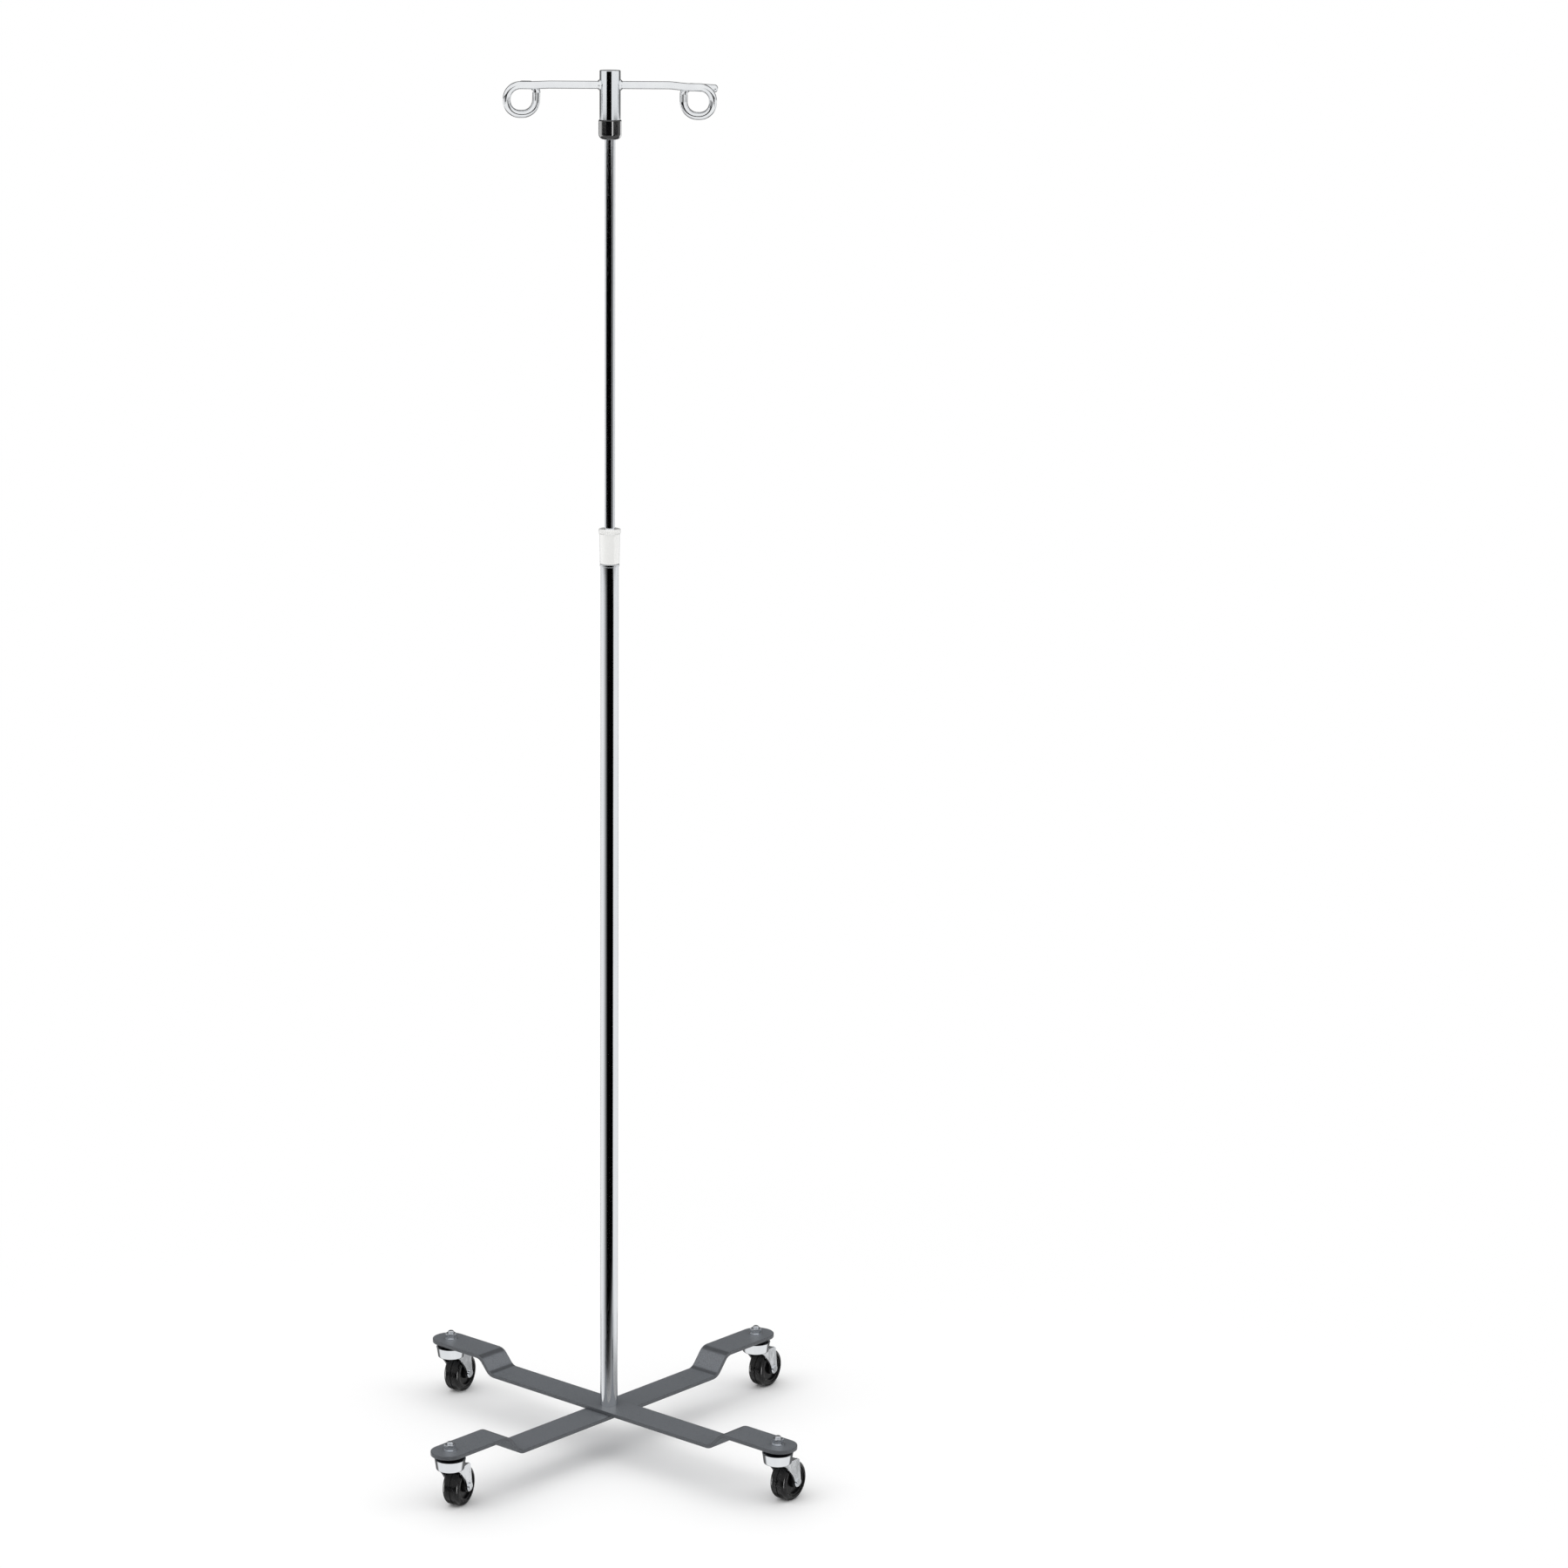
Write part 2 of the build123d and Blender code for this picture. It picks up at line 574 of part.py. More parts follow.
# ================================================================ casters
def caster(name, place, trail_direction):
    """One threaded-stem swivel caster, standing at its corner and trailing that way."""
    x, y = corner(place)
    turn = radians(trail_direction)
    trail = Vector(cos(turn), sin(turn), 0)
    across = Vector(-sin(turn), cos(turn), 0)
    foot = Vector(x, y, 0)
    axle_point = foot + trail * caster_trail + Vector(0, 0, axle_height)

    def level(height):
        """A level plane on the stem's axis, whose local x points along the trail."""
        return Plane(origin=foot + Vector(0, 0, height), x_dir=trail, z_dir=(0, 0, 1))

    def cross_plane(shift):
        """A plane square to the axle, that far along it, with local x along the trail and y up."""
        return Plane(origin=foot + across * shift, x_dir=trail, z_dir=-across)

    def axle_plane(shift):
        """A plane square to the axle with its origin on the axle's line."""
        return Plane(origin=axle_point + across * shift, x_dir=trail, z_dir=-across)

    wheel_section = Plane(origin=axle_point, x_dir=across, z_dir=trail)
    stem_section = Plane(origin=foot, x_dir=trail, z_dir=-across)
    stem_axis = Axis(foot, (0, 0, 1))
    axle_axis = Axis(axle_point, across)

    with BuildPart() as stem:
        with BuildSketch(level(crown_height - stem_rivet_height - run_gap)):
            Circle(stem_rivet_diameter / 2)
        extrude(amount=stem_rivet_height)
        fillet(stem.faces().sort_by(Axis.Z)[0].edges(), lead_in)
        with BuildSketch(level(crown_height - stem_rivet_height)):
            Circle(stem_diameter / 2)
        extrude(amount=nut_foot + nut_height + stem_end_above_nut - crown_height + stem_rivet_height)
        chamfer(stem.faces().sort_by(Axis.Z)[-1].edges(), lead_in)
    save(stem.part, f"{name}_stem")

    with BuildPart() as race:
        with BuildSketch(stem_section):
            with BuildLine():
                bore = stem_diameter / 2 + press_gap
                Polyline(
                    (bore, race_foot),
                    (cup_foot_diameter / 2 - cup_wall - 2 * run_gap, race_foot),
                    (race_diameter / 2, cup_rim - race_rim_height),
                    (race_diameter / 2, cup_rim),
                    (race_neck_diameter / 2, stem_flange_foot),
                    (race_neck_diameter / 2, pad_underside),
                    (bore, pad_underside),
                    close=True,
                )
            make_face()
        revolve(axis=stem_axis)
    save(race.part, f"{name}_race")

    with BuildPart() as balls:
        with Locations(level(crown_height + fork_sheet + ball_diameter / 2)):
            with PolarLocations(ball_circle_radius, ball_count):
                Sphere(ball_diameter / 2)
    save(balls.part, f"{name}_balls")

    with BuildPart() as fork:
        with BuildSketch(stem_section):
            with BuildLine():
                foot_radius = cup_foot_diameter / 2
                rim_radius = cup_rim_diameter / 2
                Polyline(
                    (0, crown_height),
                    (foot_radius, crown_height),
                    (rim_radius, cup_rim),
                    (rim_radius - cup_wall, cup_rim),
                    (foot_radius - cup_wall, crown_height + fork_sheet),
                    (0, crown_height + fork_sheet),
                    close=True,
                )
            make_face()
        revolve(axis=stem_axis)
        fillet(fork.edges().filter_by(GeomType.CIRCLE).group_by(Axis.Z)[0], fork_foot_round)
        with BuildSketch(level(crown_height)):
            with Locations(((fork_heel - fork_heel_round) / 2, 0)):
                Rectangle(fork_heel - fork_heel_round, 2 * fork_outside)
        extrude(amount=fork_sheet)
        for shift in (-fork_outside + fork_sheet, fork_outside):
            with BuildSketch(cross_plane(shift)):
                with BuildLine():
                    back = caster_trail + fork_tip_radius
                    crown_top = crown_height + fork_sheet
                    toe = (caster_trail - fork_tip_radius, axle_height)
                    front = (-fork_front, crown_height)
                    waist = (fork_waist[0], crown_height - fork_waist[1])
                    heel_foot = (fork_heel, crown_top - fork_heel_round)
                    heel_top = (fork_heel - fork_heel_round, crown_top)
                    Line((back, axle_height), heel_foot)
                    RadiusArc(heel_foot, heel_top, -fork_heel_round)
                    Polyline(heel_top, (-fork_front, crown_top), front)
                    Spline(front, waist, toe, tangents=((1, -0.4), (0.15, -1)))
                    ThreePointArc(toe, (caster_trail, axle_height - fork_tip_radius), (back, axle_height))
                make_face()
            extrude(amount=fork_sheet)
        with BuildSketch(level(crown_height)):
            Circle(stem_diameter / 2 + slide_gap)
        extrude(amount=fork_sheet, mode=Mode.SUBTRACT)
        with BuildSketch(axle_plane(fork_outside)):
            Circle(axle_diameter / 2 + press_gap)
        extrude(amount=2 * fork_outside, mode=Mode.SUBTRACT)
    save(fork.part, f"{name}_fork")

    with BuildPart() as axle:
        with BuildSketch(axle_plane(fork_outside)):
            Circle(axle_diameter / 2)
        extrude(amount=2 * fork_outside)
        for shift in (-fork_outside, fork_outside + axle_head_height):
            with BuildSketch(axle_plane(shift)):
                Circle(axle_head_diameter / 2)
            extrude(amount=axle_head_height)
    save(axle.part, f"{name}_axle")

    sleeve_outer = axle_diameter + 2 * (press_gap + axle_sleeve_wall)
    with BuildPart() as spacer:
        with BuildSketch(axle_plane(fork_inside)):
            annulus(sleeve_outer, axle_diameter + 2 * press_gap)
        extrude(amount=2 * fork_inside)
    save(spacer.part, f"{name}_axle_sleeve")

    with BuildPart() as hub:
        bore = sleeve_outer / 2 + slide_gap
        boss = hub_boss_diameter / 2
        rim = hub_diameter / 2
        web = hub_web_thickness / 2
        half_boss = fork_inside - run_gap
        half_rim = tyre_width / 2 - hub_rim_inset
        seat_wall = rim - hub_rim_wall
        with BuildSketch(wheel_section):
            with BuildLine():
                Polyline(
                    (-half_boss, bore),
                    (-half_boss, boss),
                    (-web, boss + hub_draft),
                    (-web, seat_wall),
                    (-half_rim, seat_wall + hub_rim_slope),
                    (-half_rim, rim),
                    (half_rim, rim),
                    (half_rim, seat_wall + hub_rim_slope),
                    (web, seat_wall),
                    (web, boss + hub_draft),
                    (half_boss, boss),
                    (half_boss, bore),
                    close=True,
                )
            make_face()
        revolve(axis=axle_axis)
    save(hub.part, f"{name}_hub")

    with BuildPart() as tyre:
        tread = wheel_diameter / 2
        seat = hub_diameter / 2 + press_gap
        with BuildSketch(wheel_section):
            with Locations((0, (tread + seat) / 2)):
                Rectangle(tyre_width, tread - seat)
        revolve(axis=axle_axis)
        outer = tyre.edges().filter_by(GeomType.CIRCLE).filter_by(lambda e: abs(e.radius - tread) < 0.01)
        fillet(outer, tyre_shoulder_round)
        with BuildSketch(axle_plane(tyre_groove_width / 2)):
            annulus(wheel_diameter + 2 * tyre_groove_depth, wheel_diameter - 2 * tyre_groove_depth)
        extrude(amount=tyre_groove_width, mode=Mode.SUBTRACT)
    save(tyre.part, f"{name}_tyre")


for caster_name, (place, trail_direction) in casters.items():
    caster(caster_name, place, trail_direction)
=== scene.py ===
"""Looks, studio and camera for the rolling drip stand. Metres, +Z up, pole axis at x = y = 0."""
from math import cos, radians, sin

import bpy
import numpy as np
from mathutils import Matrix, Vector


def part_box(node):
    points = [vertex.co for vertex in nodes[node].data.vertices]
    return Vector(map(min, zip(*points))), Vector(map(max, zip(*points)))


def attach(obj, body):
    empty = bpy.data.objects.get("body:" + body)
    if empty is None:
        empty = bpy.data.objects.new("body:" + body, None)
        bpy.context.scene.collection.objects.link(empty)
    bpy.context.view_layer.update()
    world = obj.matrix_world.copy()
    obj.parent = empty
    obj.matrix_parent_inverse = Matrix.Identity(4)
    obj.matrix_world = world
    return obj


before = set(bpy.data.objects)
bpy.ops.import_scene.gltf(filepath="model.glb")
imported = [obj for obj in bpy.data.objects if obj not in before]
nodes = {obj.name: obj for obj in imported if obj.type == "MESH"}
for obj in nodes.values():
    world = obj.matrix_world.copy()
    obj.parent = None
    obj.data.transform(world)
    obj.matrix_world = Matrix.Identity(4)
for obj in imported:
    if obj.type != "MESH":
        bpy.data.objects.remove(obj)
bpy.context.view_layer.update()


# ---------------------------------------------------------------- base bars
# Two hot-rolled flat bars, joggled in a press and crossed flat over each other. They carry a grey
# silver-vein powder coat: a satin skin with fine dark veins, with painted shade along the edges, bends and
# sides.
MM = 0.001


def linear(code):
    """An sRGB hex colour as linear RGBA: each channel is ((c + 0.055) / 1.055) ^ 2.4 above the toe."""
    channels = [int(code[i : i + 2], 16) / 255 for i in (1, 3, 5)]
    rgb = [c / 12.92 if c <= 0.04045 else ((c + 0.055) / 1.055) ** 2.4 for c in channels]
    return (*rgb, 1.0)


def add(tree, kind, inputs=None, **settings):
    """Adds a node, gives it its settings, and sets or links each input that is named."""
    made = tree.nodes.new(kind)
    for setting, value in settings.items():
        setattr(made, setting, value)
    for socket, value in (inputs or {}).items():
        if isinstance(value, bpy.types.NodeSocket):
            tree.links.new(value, made.inputs[socket])
        else:
            made.inputs[socket].default_value = value
    return made


def new_finish(name, **constants):
    """A material with its tree, its shader with those constants, and its Object coordinates."""
    material = bpy.data.materials.new(name)
    material.use_nodes = True
    tree = material.node_tree
    shader = tree.nodes["Principled BSDF"]
    for socket, value in constants.items():
        shader.inputs[socket.replace("_", " ")].default_value = value
    place = add(tree, "ShaderNodeTexCoord").outputs["Object"]
    return material, tree, shader, place


def wear(material, *names):
    """Gives CAD nodes that finish."""
    for name in names:
        for slot in nodes[name].material_slots:
            slot.material = material


# The veins are the borders of wandering cells, over a metallic grain and slow patches of tone. The
# grain is drawn coarser than real flake, so that it shows.
vein_width = 2.6 * MM
vein_share = 0.16
wander_patch = 3 * vein_width
wander_reach = 4.0 * MM
grain_width = 0.9 * MM
shade_patch = 70 * MM
skin_relief = 0.05 * MM
vein_coat, tree, shader, place = new_finish(
    "silver_vein_powder_coat", Metallic=0.35, Coat_Weight=0.25, Coat_Roughness=0.3)
warped = add(tree, "ShaderNodeTexNoise", {"Vector": place, "Scale": 1 / wander_patch, "Detail": 2.0})
shifted = add(tree, "ShaderNodeMixRGB", {0: wander_reach, 1: place, 2: warped.outputs["Color"]},
              blend_type="ADD")
cells = add(tree, "ShaderNodeTexVoronoi", {"Vector": shifted.outputs[0], "Scale": 1 / vein_width},
            feature="DISTANCE_TO_EDGE")
vein_line = add(tree, "ShaderNodeMapRange", {"Value": cells.outputs["Distance"], "From Max": vein_share})
grain = add(tree, "ShaderNodeTexNoise", {"Vector": place, "Scale": 1 / grain_width, "Detail": 3.0})
patches = add(tree, "ShaderNodeTexNoise", {"Vector": place, "Scale": 1 / shade_patch, "Detail": 2.0})
flake = add(tree, "ShaderNodeMixRGB",
            {0: grain.outputs["Fac"], 1: linear("#666a6e"), 2: linear("#8a8f94")})
veined = add(tree, "ShaderNodeMixRGB",
             {0: vein_line.outputs[0], 1: linear("#5a5e62"), 2: flake.outputs[0]})
toned = add(tree, "ShaderNodeMixRGB",
            {0: patches.outputs["Fac"], 1: veined.outputs[0], 2: linear("#74777d")})

# Painted shade: the coat is mixed towards a dark grey in a band along each edge, where a rounded
# normal leaves the flat one, and, by how far the surface tilts from level, on the bends and a
# little on the sides. Each pair is the cosines where that starts to show and shows in full.
edge_band = 1.8 * MM
edge_cosines = (0.995, 0.92)
edge_share = 0.9
bend_cosines = (0.995, 0.96)
slope_cosines = (0.76, 0.86)
bend_share = 0.6
side_cosines = (0.5, 0.2)
side_share = 0.55
rounded = add(tree, "ShaderNodeBevel", {"Radius": edge_band}, samples=6)
flat_normal = add(tree, "ShaderNodeNewGeometry").outputs["True Normal"]
at_edge = add(tree, "ShaderNodeVectorMath", {0: rounded.outputs[0], 1: flat_normal},
              operation="DOT_PRODUCT")
painted_edge_shade = add(tree, "ShaderNodeMapRange", {
    "Value": at_edge.outputs["Value"], "From Min": edge_cosines[0], "From Max": edge_cosines[1],
    "To Max": edge_share})
own_normal = add(tree, "ShaderNodeTexCoord").outputs["Normal"]
upright = add(tree, "ShaderNodeSeparateXYZ", {0: own_normal}).outputs["Z"]
tilt = add(tree, "ShaderNodeMath", {0: upright}, operation="ABSOLUTE").outputs[0]
past_flat = add(tree, "ShaderNodeMapRange",
                {"Value": tilt, "From Min": bend_cosines[0], "From Max": bend_cosines[1]})
before_slope = add(tree, "ShaderNodeMapRange",
                   {"Value": tilt, "From Min": slope_cosines[0], "From Max": slope_cosines[1]})
in_bend = add(tree, "ShaderNodeMath", {0: past_flat.outputs[0], 1: before_slope.outputs[0]},
              operation="MULTIPLY")
painted_bend_shade = add(tree, "ShaderNodeMath", {0: in_bend.outputs[0], 1: bend_share}, operation="MULTIPLY")
painted_side_shade = add(tree, "ShaderNodeMapRange", {
    "Value": tilt, "From Min": side_cosines[0], "From Max": side_cosines[1], "To Max": side_share})
painted_edge_and_bend_shade = add(tree, "ShaderNodeMath", {0: painted_edge_shade.outputs[0], 1: painted_bend_shade.outputs[0]},
              operation="MAXIMUM")
painted_shade_mask = add(tree, "ShaderNodeMath", {0: painted_edge_and_bend_shade.outputs[0], 1: painted_side_shade.outputs[0]},
                operation="MAXIMUM")
# The painted shade darkens the coat on the edges, the bends and the sides.
coat_with_painted_shade = add(tree, "ShaderNodeMixRGB",
            {0: painted_shade_mask.outputs[0], 1: toned.outputs[0], 2: linear("#26282b")})
tree.links.new(coat_with_painted_shade.outputs[0], shader.inputs["Base Color"])
sheen = add(tree, "ShaderNodeMapRange", {"Value": grain.outputs["Fac"], "To Min": 0.36, "To Max": 0.58})
tree.links.new(sheen.outputs[0], shader.inputs["Roughness"])
height = add(tree, "ShaderNodeMath", {0: vein_line.outputs[0], 1: grain.outputs["Fac"]}, operation="ADD")
skin = add(tree, "ShaderNodeBump", {"Height": height.outputs[0], "Distance": skin_relief, "Strength": 0.6})
tree.links.new(skin.outputs[0], shader.inputs["Normal"])
wear(vein_coat, "leg_bar_upper", "leg_bar_lower")


# ---------------------------------------------------------------- centre bolt
# One hexagon bolt with a thick washer holds both bars up against the tapped plug in the tube's
# foot. They are bright zinc plate: slightly blue, with a soft bloom over crystals that are drawn
# coarse, so that they show.
zinc_bloom = 3.5 * MM
crystal_width = 0.8 * MM
crystal_relief = 0.01 * MM
zinc, tree, shader, place = new_finish("bright_zinc_plate", Metallic=1.0)
bloom = add(tree, "ShaderNodeTexNoise",
            {"Vector": place, "Scale": 1 / zinc_bloom, "Detail": 4.0, "Roughness": 0.6})
tint = add(tree, "ShaderNodeMixRGB", {0: bloom.outputs["Fac"], 1: linear("#b9bec6"), 2: linear("#e2e4e6")})
tree.links.new(tint.outputs[0], shader.inputs["Base Color"])
dull = add(tree, "ShaderNodeMapRange", {"Value": bloom.outputs["Fac"], "To Min": 0.14, "To Max": 0.34})
tree.links.new(dull.outputs[0], shader.inputs["Roughness"])
crystals = add(tree, "ShaderNodeTexNoise", {"Vector": place, "Scale": 1 / crystal_width, "Detail": 3.0})
bumps = add(tree, "ShaderNodeBump",
            {"Height": crystals.outputs["Fac"], "Distance": crystal_relief, "Strength": 0.5})
tree.links.new(bumps.outputs[0], shader.inputs["Normal"])
wear(zinc, "centre_bolt", "centre_washer", "tube_foot_plug")


# ---------------------------------------------------------------- lower tube
# A 7/8 inch welded steel tube, belt-polished along its length and chromed. The plate mirrors the
# room, and the polishing leaves faint lines and a slow unevenness along it.
film_patch = 14 * MM
unevenness = 9 * MM
line_depth = 0.001 * MM
# Real belt lines are a few hundredths of a millimetre apart. These are coarser, so that they show.
line_spacing = 0.7 * MM


def chrome_plate(name, dark, light, stretch, ripple, gloss):
    """Chrome over polished steel, between a dark and a light tone. The polishing lines are noise
    drawn out by stretch along Z, the unevenness is slow noise of the height of ripple that tilts
    the mirror slightly, and handling dulls it in patches, over the two roughnesses of gloss."""
    material, tree, shader, place = new_finish(name, Metallic=1.0)
    drawn = add(tree, "ShaderNodeMapping", {"Vector": place, "Scale": (1.0, 1.0, 1 / stretch)}).outputs[0]
    film = add(tree, "ShaderNodeTexNoise", {"Vector": drawn, "Scale": 1 / film_patch, "Detail": 3.0})
    lines = add(tree, "ShaderNodeTexNoise", {"Vector": drawn, "Scale": 1 / line_spacing, "Detail": 2.0})
    colour = add(tree, "ShaderNodeMixRGB", {0: film.outputs["Fac"], 1: linear(dark), 2: linear(light)})
    tree.links.new(colour.outputs[0], shader.inputs["Base Color"])
    worn = add(tree, "ShaderNodeMath", {0: film.outputs["Fac"], 1: lines.outputs["Fac"]},
               operation="MULTIPLY")
    rough = add(tree, "ShaderNodeMapRange",
                {"Value": worn.outputs[0], "From Max": 0.5, "To Min": gloss[0], "To Max": gloss[1]})
    tree.links.new(rough.outputs[0], shader.inputs["Roughness"])
    slow = add(tree, "ShaderNodeTexNoise", {"Vector": drawn, "Scale": 1 / unevenness, "Detail": 1.0})
    uneven = add(tree, "ShaderNodeBump",
                 {"Height": slow.outputs["Fac"], "Distance": ripple, "Strength": 0.4})
    scratch = add(tree, "ShaderNodeBump", {
        "Height": lines.outputs["Fac"], "Distance": line_depth, "Strength": 0.2,
        "Normal": uneven.outputs[0]})
    tree.links.new(scratch.outputs[0], shader.inputs["Normal"])
    return material


tube_chrome = chrome_plate("chrome_on_polished_tube", dark="#d5d8dc", light="#e4e6e8",
                           stretch=12.0, ripple=0.006 * MM, gloss=(0.03, 0.07))
wear(tube_chrome, "lower_tube")


# ---------------------------------------------------------------- twist lock
# A chromed ferrule, riveted in the tube's mouth, carries a split nylon collet. A white moulded
# nylon ring screws down over it and squeezes it on the rod; its rim is notched for the fingers.
fitting_chrome = chrome_plate("chrome_on_turned_brass", dark="#cfd2d6", light="#e2e4e6",
                              stretch=1.0, ripple=0.012 * MM, gloss=(0.04, 0.12))
wear(fitting_chrome, "lock_ferrule", "ferrule_rivet")

# The ring's mould is polished, which gives a bright, milky skin with a very soft unevenness.
flow_width = 12 * MM
mould_dimple = 3 * MM
mould_relief = 0.01 * MM
lock_nylon, tree, shader, place = new_finish(
    "white_moulded_nylon", Roughness=0.2, IOR=1.53, Coat_Weight=1.0, Coat_Roughness=0.06, Coat_IOR=1.6)
flow = add(tree, "ShaderNodeTexNoise", {"Vector": place, "Scale": 1 / flow_width, "Detail": 3.0})
milky = add(tree, "ShaderNodeMixRGB", {0: flow.outputs["Fac"], 1: linear("#efefed"), 2: linear("#f5f5f3")})
tree.links.new(milky.outputs[0], shader.inputs["Base Color"])
dimples = add(tree, "ShaderNodeTexNoise", {"Vector": place, "Scale": 1 / mould_dimple, "Detail": 2.0})
moulded = add(tree, "ShaderNodeBump",
              {"Height": dimples.outputs["Fac"], "Distance": mould_relief, "Strength": 0.4})
tree.links.new(moulded.outputs[0], shader.inputs["Normal"])
wear(lock_nylon, "lock_ring")

# The collet and the glide bush are turned from natural nylon rod: matt cream with tool marks. A
# wave repeats at pi / 10 of its scale, so the marks are 1.26 mm apart, which is coarser than real
# ones, so that they show.
cloud_width = 6 * MM
mark_scale = 4 * MM
tool_relief = 0.02 * MM
plain_nylon, tree, shader, place = new_finish("natural_turned_nylon", Roughness=0.4, IOR=1.53)
cloud = add(tree, "ShaderNodeTexNoise", {"Vector": place, "Scale": 1 / cloud_width, "Detail": 3.0})
cream = add(tree, "ShaderNodeMixRGB",
            {0: cloud.outputs["Fac"], 1: linear("#d3d2c8"), 2: linear("#e3e2da")})
tree.links.new(cream.outputs[0], shader.inputs["Base Color"])
turned = add(tree, "ShaderNodeTexWave", {"Vector": place, "Scale": 1 / mark_scale, "Distortion": 1.0},
             bands_direction="Z")
tool_marks = add(tree, "ShaderNodeBump",
                 {"Height": turned.outputs["Fac"], "Distance": tool_relief, "Strength": 0.4})
tree.links.new(tool_marks.outputs[0], shader.inputs["Normal"])
wear(plain_nylon, "lock_collet", "glide_bush")


# ---------------------------------------------------------------- inner rod
# A half-inch chromed tube that slides in the lower one, with a zinc plug, a nylon glide bush and
# a screw at its hidden end. Sliding in the collet has drawn fine lines along its plate.
rod_chrome = chrome_plate("chrome_on_sliding_rod", dark="#ced1d5", light="#dfe1e4",
                          stretch=20.0, ripple=0.008 * MM, gloss=(0.03, 0.09))
wear(rod_chrome, "inner_rod")
wear(zinc, "rod_end_plug", "glide_washer", "glide_screw")


# ---------------------------------------------------------------- head
# A one-inch chromed sleeve with a pressed cap, on a glossy black moulded bushing that a black
# set screw clamps to the rod. The moulding is mirror-like, with a faint sink and flow in it.
head_chrome = chrome_plate("chrome_on_head_sleeve", dark="#d3d7db", light="#e6e9eb",
                           stretch=4.0, ripple=0.004 * MM, gloss=(0.02, 0.05))
wear(head_chrome, "head_sleeve", "head_cap")

sink_width = 8 * MM
sink_depth = 0.015 * MM
gloss_black, tree, shader, place = new_finish(
    "glossy_black_abs", IOR=1.54, Coat_Weight=0.35, Coat_Roughness=0.03)
sink = add(tree, "ShaderNodeTexNoise", {"Vector": place, "Scale": 1 / sink_width, "Detail": 2.0})
ink = add(tree, "ShaderNodeMixRGB", {0: sink.outputs["Fac"], 1: linear("#020203"), 2: linear("#070708")})
tree.links.new(ink.outputs[0], shader.inputs["Base Color"])
handled = add(tree, "ShaderNodeMapRange", {"Value": sink.outputs["Fac"], "To Min": 0.07, "To Max": 0.16})
tree.links.new(handled.outputs[0], shader.inputs["Roughness"])
sunken = add(tree, "ShaderNodeBump",
             {"Height": sink.outputs["Fac"], "Distance": sink_depth, "Strength": 0.4})
tree.links.new(sunken.outputs[0], shader.inputs["Normal"])
wear(gloss_black, "head_bushing")

# The set screw is blackened steel: dark grey and matt, with a fine sooty mottle.
oxide_mottle = 1.2 * MM
black_oxide, tree, shader, place = new_finish("black_oxide_steel", Metallic=1.0)
oxide = add(tree, "ShaderNodeTexNoise", {"Vector": place, "Scale": 1 / oxide_mottle, "Detail": 4.0})
soot = add(tree, "ShaderNodeMixRGB", {0: oxide.outputs["Fac"], 1: linear("#1b1b1e"), 2: linear("#3a3b3f")})
tree.links.new(soot.outputs[0], shader.inputs["Base Color"])
matt = add(tree, "ShaderNodeMapRange", {"Value": oxide.outputs["Fac"], "To Min": 0.3, "To Max": 0.5})
tree.links.new(matt.outputs[0], shader.inputs["Roughness"])
wear(black_oxide, "head_set_screw")


# ---------------------------------------------------------------- hooks
# Two arms of 3/8 inch round bar, each coiled once, put through the sleeve's sides and welded
# there before plating. The bar's plate mirrors more softly than the tube's, and it smooths over the
# weld, a small rippled bead.
hook_chrome = chrome_plate("chrome_on_bent_bar", dark="#dee0e3", light="#eef0f1",
                           stretch=1.0, ripple=0.02 * MM, gloss=(0.06, 0.13))
wear(hook_chrome, "hook_left", "hook_right")


def mesh_piece(name, points, wrap_u=False, wrap_v=False):
    """A piece from an array of points in rows and columns: each quad joins neighbouring rows and
    columns, and the last one joins the first again where the surface wraps."""
    rows, columns, _ = points.shape
    index = np.arange(rows * columns).reshape(rows, columns)
    if wrap_u:
        index = np.vstack([index, index[:1]])
    if wrap_v:
        index = np.hstack([index, index[:, :1]])
    corners = (index[:-1, :-1], index[1:, :-1], index[1:, 1:], index[:-1, 1:])
    quads = np.stack(corners, axis=-1).reshape(-1, 4)
    mesh = bpy.data.meshes.new(name)
    mesh.from_pydata(points.reshape(-1, 3).tolist(), [], quads.tolist())
    mesh.polygons.foreach_set("use_smooth", np.ones(len(quads), dtype=bool))
    mesh.validate()
    piece = bpy.data.objects.new(name, mesh)
    bpy.context.scene.collection.objects.link(piece)
    return piece


sleeve_low, sleeve_high = (np.array(corner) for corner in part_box("head_sleeve"))
sleeve_radius = (sleeve_high[0] - sleeve_low[0]) / 2
stub_margin = 1.0 * MM
arm_radius = 4.75 * MM
bead_radius = 1.0 * MM
bead_offset = 0.3 * MM
bead_ripples = 22
ripple_share = 0.07
bead_steps_around = 176
bead_steps_across = 18


def weld_bead(side, arm_z):
    """A fillet weld round an arm. Its section is a circle set in the corner between arm and sleeve,
    carried round the arm, starting from the sleeve's curved side, x = sqrt(R^2 - y^2), and it
    swells and shrinks with a cosine for each ripple."""
    around = np.linspace(0, 2 * np.pi, bead_steps_around, endpoint=False)[:, None]
    across = np.linspace(0, 2 * np.pi, bead_steps_across, endpoint=False)[None, :]
    swell = bead_radius * (1 + ripple_share * np.cos(bead_ripples * around + np.cos(across)))
    out = arm_radius + bead_offset + swell * np.sin(across)
    y = out * np.sin(around)
    z = arm_z + out * np.cos(around)
    x = side * (np.sqrt(sleeve_radius**2 - y**2) + bead_offset + swell * np.cos(across))
    points = np.stack([x, y, z], axis=-1)
    return points if side > 0 else points[:, ::-1]


